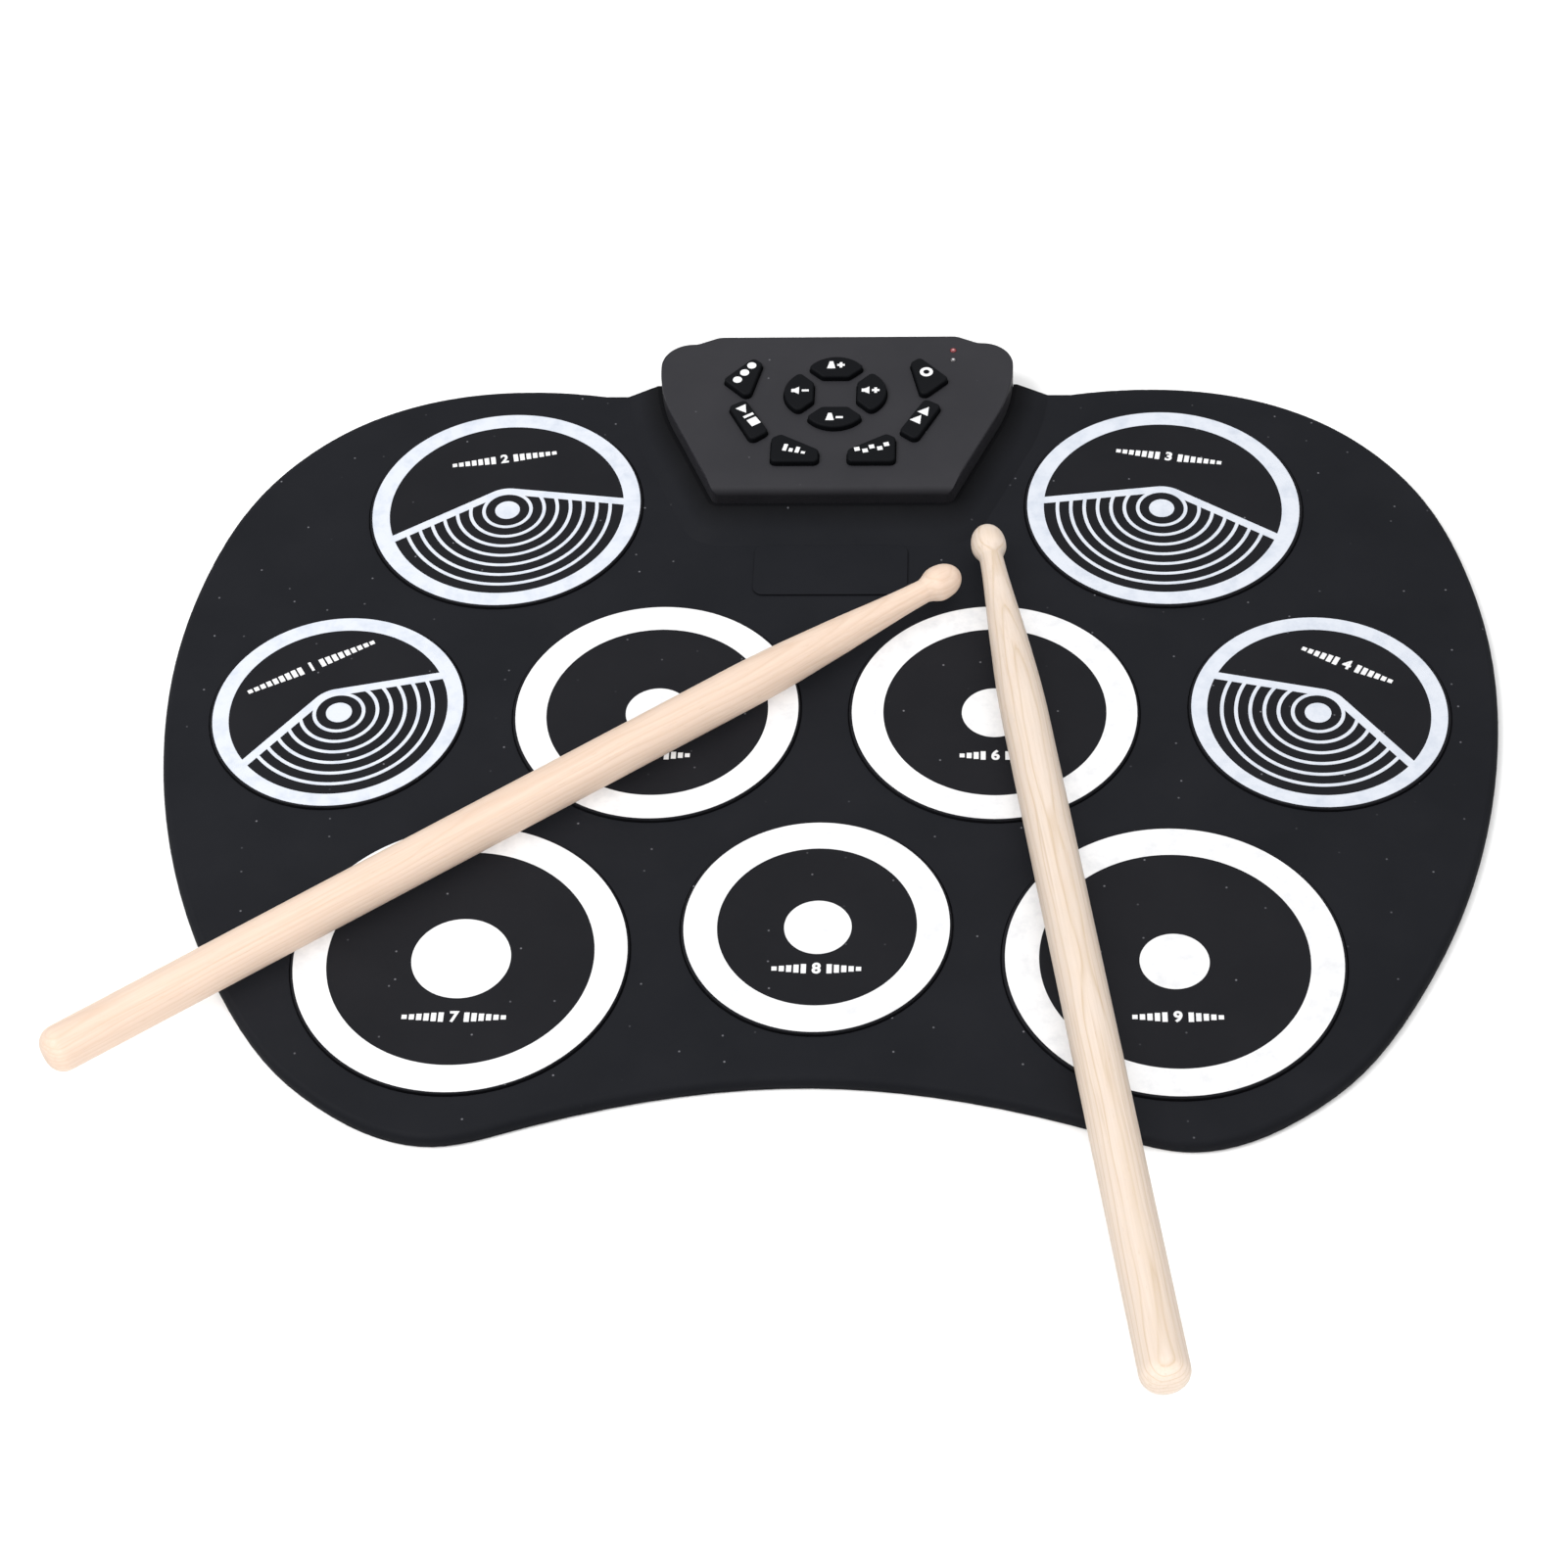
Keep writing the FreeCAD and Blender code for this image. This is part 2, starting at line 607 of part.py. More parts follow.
def make_bottom_shell():
    shell = new_body("box_bottom_shell")
    pad(shell, case_outline(0, CASE_FRONT), "case_bottom", "case_seam")
    pocket(shell, case_outline(size("case_wall"), INNER_FRONT), "case_seam", "case_floor")
    # the flange that the mat's sheets grip reaches as far back as they do
    grip = size("trap_width") - CASE_FIT
    pad(shell, front_outline(-grip, CASE_FRONT - grip, MAT_REAR - 1.0), "case_bottom", "trap_top")
    for x, y in SCREW_PLACES:
        pad(shell, circle(x, y, BOSS_RADIUS), "case_floor - 0.1", "case_seam - 0.1")
        pocket(shell, circle(x, y, SCREW_RADIUS + SCREW_GAP), "case_seam", "case_bottom")
        pocket(shell, circle(x, y, HEAD_RADIUS + SCREW_GAP), "screw_head_top", "case_bottom")
    for x, y in BOARD_SCREWS:
        pad(shell, circle(x, y, BOARD_POST_RADIUS), "case_floor - 0.1", "board_bottom")
        pocket(shell, circle(x, y, BOARD_SCREW_RADIUS), "board_bottom", "case_floor")
    # the film's tail runs under the front wall and up through the floor
    tail = TAIL_HALF_WIDTH + TAIL_GAP
    pocket(shell, rectangle(-tail, CASE_FRONT - 6.0, tail, TAIL_SLOT[1]), "film_top", "case_bottom")
    pocket(shell, rectangle(-tail, TAIL_SLOT[0], tail, TAIL_SLOT[1]), "case_floor", "case_bottom")
    # openings in the rear wall
    z = size("socket_axis")
    nose = size("nose_radius") + size("nose_gap")
    for places in JACKS_X.values():
        for x in places:
            rear_hole(shell, circle(x, z, nose))
    width, height = USB_HALF
    rear_hole(shell, slot_outline(USB_X, z, width + 0.1, height + 0.1, height))
    knob_width, knob_height = SWITCH_KNOB
    half_width = (knob_width + SWITCH_TRAVEL) / 2 + SWITCH_GAP
    middle = SWITCH_X + SWITCH_TRAVEL / 2
    rear_hole(shell, slot_outline(middle, z, half_width, knob_height / 2 + SWITCH_GAP, 0.4))


def front_roll():
    """What is cut off the top shell's front, as Y and Z: a rolled edge that runs into a crown."""
    top, radius, crown = size("case_top"), size("roll_radius"), size("crown_radius")
    between = crown - radius
    roll_centre = (CASE_FRONT + radius, top - crown + between * math.cos(CROWN_LEAN))
    crown_centre = (roll_centre[0] + between * math.sin(CROWN_LEAN), top - crown)
    turn = math.pi / 2 + CROWN_LEAN
    start, outside = (CASE_FRONT, roll_centre[1]), CASE_FRONT - 10.0
    return [arc(roll_centre, radius, math.pi, turn),
            arc(crown_centre, crown, turn, math.pi / 2),
            line((crown_centre[0], top), (crown_centre[0], top + 2.0)),
            line((crown_centre[0], top + 2.0), (outside, top + 2.0)),
            line((outside, top + 2.0), (outside, start[1])),
            line((outside, start[1]), start)]


def make_top_shell():
    shell = new_body("box_top_shell")
    groove = size("seam_depth")
    pad(shell, case_outline(groove, CASE_FRONT + groove), "case_seam", "case_seam + seam_gap")
    pad(shell, case_outline(0, CASE_FRONT), "case_seam + seam_gap", "case_top")
    fillet(shell, "case_round", lambda edge: flat_at(edge, size("case_top")))
    sketch = sketch_on(shell, front_roll(), None, "YZ_Plane")
    sketch.AttachmentOffset.Base = FreeCAD.Vector(0, 0, 2 * CASE_HALF_WIDTH)
    roll = shell.newObject("PartDesign::Pocket", "front_roll")
    roll.Profile = sketch
    roll.Length = 4 * CASE_HALF_WIDTH
    pocket(shell, case_outline(size("case_wall"), INNER_FRONT), "case_roof", "case_seam")
    for x, y in SCREW_PLACES:
        pad(shell, circle(x, y, BOSS_RADIUS), "case_seam", "case_roof + 0.1")
        pocket(shell, circle(x, y, SCREW_RADIUS), "screw_end", "case_seam")
    for _, core, _ in KEYS:
        pocket(shell, grown(core, KEY_ROUND + size("key_gap")), "case_top", "case_roof")
    for _, x, y in LAMPS:
        pocket(shell, circle(x, y, size("lamp_radius") + LAMP_GAP), "case_top", "case_roof")


def make_board():
    board = new_body("main_board")
    inset = size("case_wall") + BOARD_EDGE
    pad(board, case_outline(inset, INNER_FRONT + BOARD_EDGE), "board_bottom", "board_top")
    for x, y in SCREW_PLACES:
        pocket(board, circle(x, y, BOSS_RADIUS + BOARD_EDGE), "board_top", "board_bottom")
    for x, y in BOARD_SCREWS:
        pocket(board, circle(x, y, BOARD_SCREW_RADIUS + SCREW_GAP), "board_top", "board_bottom")
    group("board_chips", [
        block(x - length / 2, y - width / 2, x + length / 2, y + width / 2,
              "board_bottom - 1.6", "board_bottom", "chip")
        for x, y, length, width in CHIPS])
    group("board_capacitors", [
        cylinder(x, y, "capacitor_radius", "board_bottom - 5.4", "board_bottom", "capacitor")
        for x, y in CAPACITORS])
    group("key_contacts", [
        cylinder(x, y, "plunger_radius + 0.2", "board_top", "contact_top", "contact")
        for _, _, (x, y) in KEYS])
    keypad = new_body("keypad_sheet")
    pad(keypad, slot_outline(0, 153.0, 41.5, 29.5, 4.0), "board_top", "keypad_top")
    for _, _, (x, y) in KEYS:
        pocket(keypad, circle(x, y, size("plunger_radius") + 1.0), "keypad_top", "board_top")


def make_lamps():
    for name, x, y in LAMPS:
        lamp = new_body(name)
        pad(lamp, circle(x, y, size("lamp_radius") + 0.4), "board_top", "keypad_top")
        pad(lamp, circle(x, y, size("lamp_radius")), "keypad_top", "lamp_top")
        fillet(lamp, "lamp_round", lambda edge: flat_at(edge, size("lamp_top")))


def rod_along_y(x, z, radius, low_y, high_y, name):
    """A Part cylinder lying along Y."""
    made = doc.addObject("Part::Cylinder", name)
    made.setExpression("Radius", bound(radius))
    made.Height = high_y - low_y
    made.Placement = FreeCAD.Placement(
        FreeCAD.Vector(x, high_y, z), FreeCAD.Rotation(FreeCAD.Vector(1, 0, 0), 90))
    return made


def jack(x):
    """A 3.5 mm socket: a block under the board with a round nose through the rear wall."""
    half_width, length, bottom = JACK_BLOCK
    inner_wall = CASE_REAR - size("case_wall") - 0.1
    front = inner_wall - length
    housing = block(x - half_width, front, x + half_width, inner_wall,
                    f"{bottom}", "board_bottom", "jack_block")
    z = size("socket_axis")
    nose = rod_along_y(x, z, "nose_radius", inner_wall - 1.0, CASE_REAR, "jack_nose")
    bore = rod_along_y(x, z, "plug_bore", CASE_REAR - size("plug_depth"), CASE_REAR, "jack_bore")
    return cut(joined([housing, nose]), bore)


def make_sockets():
    keep("headphone_jack", jack(*JACKS_X["headphone_jack"]))
    group("pedal_jacks", [jack(x) for x in JACKS_X["pedal_jacks"]])

    usb = new_body("usb_socket")
    z = size("socket_axis")
    width, height = USB_HALF
    mouth = sketch_on(usb, slot_outline(USB_X, z, width, height, height - 0.05), None, "XZ_Plane")
    mouth.AttachmentOffset.Base = FreeCAD.Vector(0, 0, -CASE_REAR)
    tube = usb.newObject("PartDesign::Pad", "tube")
    tube.Profile = mouth
    tube.Length = USB_DEPTH
    width, height = width - USB_WALL, height - USB_WALL
    hollow = sketch_on(usb, slot_outline(USB_X, z, width, height, height - 0.05), None, "XZ_Plane")
    hollow.AttachmentOffset.Base = FreeCAD.Vector(0, 0, USB_DEPTH - 1.0 - CASE_REAR)
    inside = usb.newObject("PartDesign::Pocket", "inside")
    inside.Profile = hollow
    inside.Length = USB_DEPTH
    carrier_front, carrier_rear = CASE_REAR - USB_DEPTH, CASE_REAR - size("case_wall") - 0.1
    carrier = rectangle(USB_X - 3.5, carrier_front, USB_X + 3.5, carrier_rear)
    pad(usb, carrier, "socket_axis + 1.5", "board_bottom")
    tongue = rectangle(USB_X - 3.3, carrier_front + 0.5, USB_X + 3.3, CASE_REAR - 1.0)
    pad(usb, tongue, "socket_axis - 0.35", "socket_axis + 0.35")


def make_switch():
    """A slide switch: the housing sits behind the rear wall, and its knob reaches through."""
    z = size("socket_axis")
    middle = SWITCH_X + SWITCH_TRAVEL / 2
    length, depth = SWITCH_BODY
    knob_width, knob_height = SWITCH_KNOB
    rear = CASE_REAR - size("case_wall") - 0.1
    housing = block(middle - length / 2, rear - depth, middle + length / 2, rear,
                    "3.4", "board_bottom", "switch_block")
    half_width = (knob_width + SWITCH_TRAVEL) / 2 + SWITCH_GAP
    half_height = knob_height / 2 + SWITCH_GAP
    room = block(middle - half_width, rear - depth + 1.5, middle + half_width, rear + 1.0,
                 f"{z - half_height}", f"{z + half_height}", "switch_room")
    keep("power_switch_body", cut(housing, room))
    knob = block(SWITCH_X - knob_width / 2, rear - depth + 1.8, SWITCH_X + knob_width / 2,
                 CASE_REAR + SWITCH_PROUD, f"{z - knob_height / 2}", f"{z + knob_height / 2}", "knob")
    keep("power_switch_slider", knob)


CROSS_WIDTH = 0.7


def crossed(head, x, y, reach, bottom, top):
    """A screw with a crossed recess cut into its head between two heights."""
    half = CROSS_WIDTH / 2
    recess = joined([
        block(x - reach, y - half, x + reach, y + half, bottom, top, "recess"),
        block(x - half, y - reach, x + half, y + reach, bottom, top, "recess"),
    ], "cross")
    return cut(head, recess, "screw")


def make_fittings():
    keep("flex_connector", block(
        -10.5, INNER_FRONT + 0.9, 10.5, 120.5, "connector_bottom", "board_bottom", "connector"))
    keep("flex_clamp_bar", block(
        -14.0, TAIL_FRONT + TAIL_THICKNESS, 14.0, 123.5, "case_floor", "case_floor + 2.0", "bar"))
    large = [crossed(joined([
        cylinder(x, y, "screw_head_radius", "case_bottom", "screw_head_top - 0.1", "head"),
        cylinder(x, y, "screw_shank_radius", "screw_head_top - 0.2", "screw_end", "shank"),
    ]), x, y, 1.5, "case_bottom - 0.1", "case_bottom + 0.6") for x, y in SCREW_PLACES]
    group("shell_screws", large)
    small = [crossed(joined([
        cylinder(x, y, "board_head_radius", "board_top", "board_top + 1.1", "head"),
        cylinder(x, y, "board_shank_radius", "case_floor + 1.4", "board_top + 0.1", "shank"),
    ]), x, y, 1.2, "board_top + 0.4", "board_top + 1.2") for x, y in BOARD_SCREWS]
    group("board_screws", small)
    group("box_feet", [cylinder(x, y, "foot_radius", "0", "case_bottom", "foot") for x, y in FEET])


# ---------------------------------------------------------------- drumsticks
STICKS = [
    # name, length, place of the tip, place towards which the butt points
    ("drumstick_left", "left_length", (47.2, 70.6), (-251.2, -149.3)),
    ("drumstick_right", "right_length", (56.7, 93.2), (111.8, -270.3)),
]
# the bead: share of its radius, and distance from the tip
BEAD = [(0.46, 0.9), (0.78, 3.1), (0.95, 5.8), (1.0, 8.6), (0.93, 11.6), (0.76, 13.8)]
BEAD_END = 15.6
SHOULDER = [(4.85, 28.0), (5.65, 40.0), (6.45, 51.0), (7.1, 62.0), (7.75, 74.0)]
SHOULDER_END = 98.0
BUTT_ROUND = 6.0
BUTT_RADIUS = 8.05


def smooth(places, start, end):
    """Smooth curve through places, leaving the first and reaching the last in given directions."""
    curve = Part.BSplineCurve()
    curve.interpolate(Points=[point(*p) for p in places], InitialTangent=point(*start),
                      FinalTangent=point(*end))
    return curve


def stick_profile(length):
    """Half of a drumstick's section, as radius and distance from the tip."""
    bead, neck, shaft = size("bead_radius"), size("neck_radius"), size("stick_radius")
    round_tip = [(share * bead, place) for share, place in BEAD]
    tip = smooth([(0, 0)] + round_tip + [(neck, BEAD_END)], (1, 0), (-0.35, 1))
    shoulder = smooth([(neck, BEAD_END)] + SHOULDER + [(shaft, SHOULDER_END)], (0.02, 1), (0, 1))
    end = (BUTT_RADIUS, length - BUTT_ROUND)
    lean = math.sqrt(0.5) * BUTT_ROUND
    butt = Part.Arc(point(*end), point(end[0] - BUTT_ROUND + lean, end[1] + lean),
                    point(end[0] - BUTT_ROUND, length))
    return [tip, shoulder, line((shaft, SHOULDER_END), end), butt,
            line((end[0] - BUTT_ROUND, length), (0, length)), line((0, length), (0, 0))]


def make_sticks():
    for name, length, tip, butt in STICKS:
        stick = new_body(name)
        turned = stick.newObject("PartDesign::Revolution", "turned")
        turned.Profile = sketch_on(stick, stick_profile(size(length)), None, "XZ_Plane")
        turned.ReferenceAxis = (turned.Profile[0], ["V_Axis"])
        turned.Angle = 360
        run = point(butt[0] - tip[0], butt[1] - tip[1])
        stick.Placement = FreeCAD.Placement(
            FreeCAD.Vector(tip[0], tip[1], size("stick_height")),
            FreeCAD.Rotation(FreeCAD.Vector(0, 0, 1), run))
        stick.setExpression("Placement.Base.z", bound("stick_height"))


# ---------------------------------------------------------------- build and write
make_film()
make_mat()
make_pads()
make_keys()
make_bottom_shell()
make_top_shell()
make_board()
make_lamps()
make_sockets()
make_switch()
make_fittings()
make_sticks()
doc.recompute()

for made in doc.Objects:
    if "Invalid" in made.State or "Error" in made.State:
        raise RuntimeError(f"{made.Name} ({made.Label}) failed: {made.State}")
for made in SUBPARTS:
    if made.Shape.isNull() or not made.Shape.isValid() or not made.Shape.Solids:
        raise RuntimeError(f"{made.Label} has no valid shape")

os.makedirs("parts", exist_ok=True)
for made in SUBPARTS:
    made.Shape.exportStep(f"parts/{made.Label}.step")
    print(made.Label, len(made.Shape.Solids), round(made.Shape.Volume, 1))
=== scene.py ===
import json
import math

import bmesh
import bpy
from mathutils import Matrix, Vector

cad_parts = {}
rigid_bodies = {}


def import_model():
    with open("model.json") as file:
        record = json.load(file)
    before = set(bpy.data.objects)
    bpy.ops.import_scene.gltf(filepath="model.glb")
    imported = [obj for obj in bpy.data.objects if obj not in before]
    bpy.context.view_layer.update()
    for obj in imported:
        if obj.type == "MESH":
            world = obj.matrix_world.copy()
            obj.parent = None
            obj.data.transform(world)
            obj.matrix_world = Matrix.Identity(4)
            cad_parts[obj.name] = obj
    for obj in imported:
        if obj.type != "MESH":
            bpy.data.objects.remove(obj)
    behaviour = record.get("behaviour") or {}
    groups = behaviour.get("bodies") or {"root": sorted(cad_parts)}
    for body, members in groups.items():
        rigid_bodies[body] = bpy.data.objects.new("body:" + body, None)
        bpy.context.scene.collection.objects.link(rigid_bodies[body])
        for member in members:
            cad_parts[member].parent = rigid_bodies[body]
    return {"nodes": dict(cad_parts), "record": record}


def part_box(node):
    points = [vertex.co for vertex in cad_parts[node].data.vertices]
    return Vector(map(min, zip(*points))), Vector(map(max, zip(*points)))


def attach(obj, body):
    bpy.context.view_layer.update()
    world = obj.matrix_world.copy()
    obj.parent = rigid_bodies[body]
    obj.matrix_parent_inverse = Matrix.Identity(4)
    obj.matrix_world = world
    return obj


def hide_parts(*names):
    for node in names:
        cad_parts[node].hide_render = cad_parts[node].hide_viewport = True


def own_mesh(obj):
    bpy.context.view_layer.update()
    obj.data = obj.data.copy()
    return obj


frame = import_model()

MM = 0.001
scene = bpy.context.scene
for spare in [o for o in scene.objects if o.name in ("Cube", "Light", "Camera")]:
    bpy.data.objects.remove(spare)
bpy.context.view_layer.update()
NODES = frame["nodes"]


# ---------------------------------------------------------------- materials
class Surface:
    """A Principled material, and the procedural textures that feed it."""

    def __init__(self, name, **sockets):
        self.material = bpy.data.materials.new(name)
        self.material.use_nodes = True
        self.tree = self.material.node_tree
        self.shader = self.tree.nodes["Principled BSDF"]
        for socket, value in sockets.items():
            self.shader.inputs[socket.replace("_", " ")].default_value = value
        coordinates = self.add("ShaderNodeTexCoord").outputs
        self.place, self.facing = coordinates["Object"], coordinates["Normal"]

    def add(self, kind, inputs=None, **settings):
        node = self.tree.nodes.new(kind)
        for key, value in settings.items():
            setattr(node, key, value)
        for key, value in (inputs or {}).items():
            if hasattr(value, "links"):
                self.tree.links.new(value, node.inputs[key])
            else:
                node.inputs[key].default_value = value
        return node

    def feed(self, socket, source):
        self.tree.links.new(source, self.shader.inputs[socket])

    def mapped(self, scale=(1, 1, 1), turn=0.0, move=(0, 0, 0)):
        inputs = {"Vector": self.place, "Rotation": (0, 0, turn), "Location": move, "Scale": scale}
        return self.add("ShaderNodeMapping", inputs).outputs["Vector"]

    def noise(self, scale, detail=3.0, roughness=0.55, place=None):
        inputs = {"Vector": place or self.place, "Scale": scale, "Detail": detail, "Roughness": roughness}
        return self.add("ShaderNodeTexNoise", inputs).outputs["Fac"]

    def voronoi(self, scale, output="Distance", flat=False):
        inputs = {"Vector": self.place, "Scale": scale}
        dimensions = "2D" if flat else "3D"
        return self.add("ShaderNodeTexVoronoi", inputs, voronoi_dimensions=dimensions).outputs[output]

    def math(self, operation, a, b=0.0):
        return self.add("ShaderNodeMath", {0: a, 1: b}, operation=operation).outputs[0]

    def fit(self, source, low, high, new_low, new_high):
        inputs = {"Value": source, "From Min": low, "From Max": high,
                  "To Min": new_low, "To Max": new_high}
        return self.add("ShaderNodeMapRange", inputs).outputs["Result"]

    def ramp(self, source, *stops):
        node = self.add("ShaderNodeValToRGB", {"Fac": source})
        ramp = node.color_ramp
        while len(ramp.elements) < len(stops):
            ramp.elements.new(0.5)
        for element, (place, colour) in zip(ramp.elements, stops):
            element.position = place
            element.color = (*colour, 1.0)
        return node.outputs["Color"]

    def mix(self, factor, a, b):
        node = self.add("ShaderNodeMix", data_type="RGBA")
        for key, value in ((0, factor), (6, a), (7, b)):
            if hasattr(value, "links"):
                self.tree.links.new(value, node.inputs[key])
            else:
                node.inputs[key].default_value = value if key == 0 else (*value, 1.0)
        return node.outputs[2]

    def rough(self, source, low, high):
        """Roughness between two values, over the range that most of a noise lies in."""
        self.feed("Roughness", self.fit(source, 0.3, 0.7, low, high))

    def bump(self, *layers):
        """Bump from (height, strength, depth in metres) layers, the finest last."""
        normal = None
        for height, strength, depth in layers:
            inputs = {"Height": height, "Strength": strength, "Distance": depth}
            if normal is not None:
                inputs["Normal"] = normal
            normal = self.add("ShaderNodeBump", inputs).outputs["Normal"]
        self.feed("Normal", normal)


# dust's colour, a speck's solid and outer radius in metres, and the colour of rubber in shade
DUST = (0.16, 0.16, 0.175)
SPECK_HEART, SPECK_EDGE = 0.00022, 0.00045
SHADE = (0.002, 0.002, 0.0025)


def dusted(s, colour, pitch, share):
    """Adds specks of dust to what faces up: at most one to a cell of the pitch, in a share of the cells."""
    scale = 1.0 / pitch
    near = s.fit(s.voronoi(scale, flat=True), SPECK_HEART * scale, SPECK_EDGE * scale, 1.0, 0.0)
    cell = s.add("ShaderNodeSeparateColor", {"Color": s.voronoi(scale, "Color", flat=True)}).outputs[0]
    strength = s.fit(cell, 1.0 - share, 1.0, 0.0, 1.0)
    rise = s.add("ShaderNodeSeparateXYZ", {"Vector": s.facing}).outputs["Z"]
    strength = s.math("MULTIPLY", strength, s.fit(rise, 0.7, 0.9, 0.0, 1.0))
    return s.mix(s.math("MULTIPLY", near, strength), colour, DUST)


def silicone(name, dark, light, roughness, pitch=0.0, grain=0.25, sheen=0.10, painted_shade_climb=None):
    """Matte moulded rubber: faint clouding, a fine skin and, where they are given, specks of dust
    (a pitch) and painted shade, a darkening between two heights (a climb)."""
    s = Surface(name, Specular_IOR_Level=sheen, IOR=1.41)
    clouds = s.ramp(s.noise(22, 4), (0.35, dark), (0.65, light))
    if painted_shade_climb:
        # painted shade: darker between the two heights, towards the colour of rubber in shade
        height = s.add("ShaderNodeSeparateXYZ", {"Vector": s.place}).outputs["Z"]
        clouds = s.mix(s.fit(height, *painted_shade_climb, 0.0, 0.75), clouds, SHADE)
    if pitch:
        clouds = dusted(s, clouds, pitch, 0.4)
    s.feed("Base Color", clouds)
    s.rough(s.noise(60, 3), roughness - 0.05, roughness + 0.05)
    s.bump((s.noise(14, 2), 0.35, 0.0012), (s.noise(1900, 2), grain, 0.00005))
    return s.material


def plastic(name, dark, light, roughness, pitch=0.0, **sockets):
    """Moulded plastic with a fine spark-eroded texture, and dust where a pitch is given."""
    s = Surface(name, **sockets)
    colour = s.ramp(s.noise(35, 4), (0.35, dark), (0.65, light))
    s.feed("Base Color", dusted(s, colour, pitch, 0.6) if pitch else colour)
    s.rough(s.noise(90, 3), roughness - 0.06, roughness + 0.06)
    s.bump((s.noise(1500, 3, 0.6), 0.35, 0.00004))
    return s.material


def ink(name, dark, light):
    """Thick silicone ink, faintly mottled."""
    s = Surface(name, Specular_IOR_Level=0.3)
    s.feed("Base Color", s.ramp(s.noise(160, 5, 0.65), (0.3, dark), (0.55, light)))
    s.rough(s.noise(300, 3), 0.42, 0.58)
    s.bump((s.noise(900, 2), 0.2, 0.00004))
    return s.material


def metal(name, dark, light, roughness):
    """Plated or brushed metal, finely mottled."""
    s = Surface(name, Metallic=1.0)
    s.feed("Base Color", s.ramp(s.noise(400, 4), (0.3, dark), (0.7, light)))
    s.rough(s.noise(900, 3), roughness - 0.08, roughness + 0.1)
    s.bump((s.noise(2200, 2), 0.15, 0.00002))
    return s.material


# a wave texture's period at a scale of one
WAVE_PERIOD = 0.314


def wood(name, tip, butt, tones, heart, ring, ring_tones, streaks):
    """Bare turned wood: growth rings cut lengthways, long fibres, streaks and short pores. The tip
    and butt are in millimetres, the heart of the rings (off the stick's axis) and their pitch in metres."""
    pale, middle, brown = tones
    s = Surface(name, Specular_IOR_Level=0.2, Subsurface_Weight=0.5, Subsurface_Scale=0.006,
                Subsurface_Radius=(1.0, 0.85, 0.7))
    turn = -math.atan2(butt[1] - tip[1], butt[0] - tip[0])
    aside = (tip[0] * math.sin(turn) + tip[1] * math.cos(turn)) * MM
    along = s.mapped(turn=turn, move=(0, -aside, -STICK_HEIGHT))

    def drawn_out(share, move=(0, 0, 0)):
        inputs = {"Vector": along, "Scale": (share, 1, 1), "Location": move}
        return s.add("ShaderNodeMapping", inputs).outputs["Vector"]

    wander = s.math("SUBTRACT", s.noise(35, 3, place=drawn_out(0.15)), 0.5)
    centre = s.add("ShaderNodeVectorMath", {0: drawn_out(0.03, (0, -heart[0], -heart[1])),
                                            1: s.math("MULTIPLY", wander, 0.009)},
                   operation="ADD").outputs["Vector"]
    rings = s.add("ShaderNodeTexWave", {"Vector": centre, "Scale": WAVE_PERIOD / ring, "Distortion": 0.7,
                                        "Detail": 3.0, "Detail Scale": 1.5},
                  wave_type="RINGS", rings_direction="X", wave_profile="SAW").outputs["Fac"]
    colour = s.ramp(rings, (0.0, ring_tones[0]), (0.35, pale), (0.7, pale), (0.9, ring_tones[1]),
                    (1.0, ring_tones[0]))
    fibres = s.noise(1000, 5, 0.7, place=drawn_out(0.025))
    colour = s.mix(s.fit(fibres, 0.45, 0.65, 0.0, 0.9), colour, middle)
    streak = s.noise(480, 3, 0.6, place=drawn_out(0.02, (0, 0.3, 0.1)))
    colour = s.mix(s.fit(streak, 0.58, 0.70, 0.0, streaks), colour, brown)
    pores = s.noise(2100, 2, 0.5, place=drawn_out(0.09))
    colour = s.mix(s.fit(pores, 0.66, 0.74, 0.0, 0.4), colour, brown)
    s.feed("Base Color", colour)
    s.rough(fibres, 0.46, 0.62)
    s.bump((fibres, 0.2, 0.0001), (pores, 0.15, 0.00005))
    return s.material


def lens(name, slot, heart, colour, painted_rim_shade):
    """A lamp's lens: a tinted dome with a small bright heart, a painted highlight, and painted shade that
    makes it darkest at its edge.
    """
    s = Surface(name, IOR=1.5, Coat_Weight=0.3)
    node = next(part["node"] for part in frame["record"]["subparts"] if part["material_slot"] == slot)
    low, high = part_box(node)
    middle = (low + high) / 2
    flat = s.mapped((1, 1, 0), move=(-middle.x, -middle.y, 0))
    away = s.add("ShaderNodeVectorMath", {0: flat}, operation="LENGTH").outputs["Value"]
    share = s.math("DIVIDE", away, (high.x - low.x) / 2)
    share = s.math("ADD", share, s.fit(s.noise(900), 0, 1, -0.08, 0.08))
    # painted highlight at the heart, painted shade towards the edge
    s.feed("Base Color", s.ramp(share, (0.16, heart), (0.36, colour), (0.66, colour), (0.92, painted_rim_shade)))
    s.rough(s.noise(800, 2), 0.22, 0.38)
    s.bump((s.noise(1500, 2), 0.1, 0.00003))
    return s.material


def board_finish():
    """Green solder mask over copper tracks, with tinned pads."""
    s = Surface("circuit_board_finish", Coat_Weight=0.3)
    cells = s.add("ShaderNodeTexBrick", {"Vector": s.place, "Scale": 120.0, "Mortar Size": 0.03,
                                         "Color1": (1, 1, 1, 1), "Color2": (0.6, 0.6, 0.6, 1),
                                         "Mortar": (0, 0, 0, 1)}).outputs["Fac"]
    mask = s.ramp(s.noise(60, 4), (0.35, (0.01, 0.09, 0.03)), (0.65, (0.015, 0.13, 0.045)))
    colour = s.mix(s.math("MULTIPLY", cells, 0.7), mask, (0.03, 0.2, 0.07))
    holes = s.math("LESS_THAN", s.voronoi(260), 0.13)
    s.feed("Base Color", s.mix(holes, colour, (0.7, 0.68, 0.62)))
    s.rough(s.noise(200, 3), 0.3, 0.45)
    s.bump((cells, 0.3, 0.00005))
    return s.material


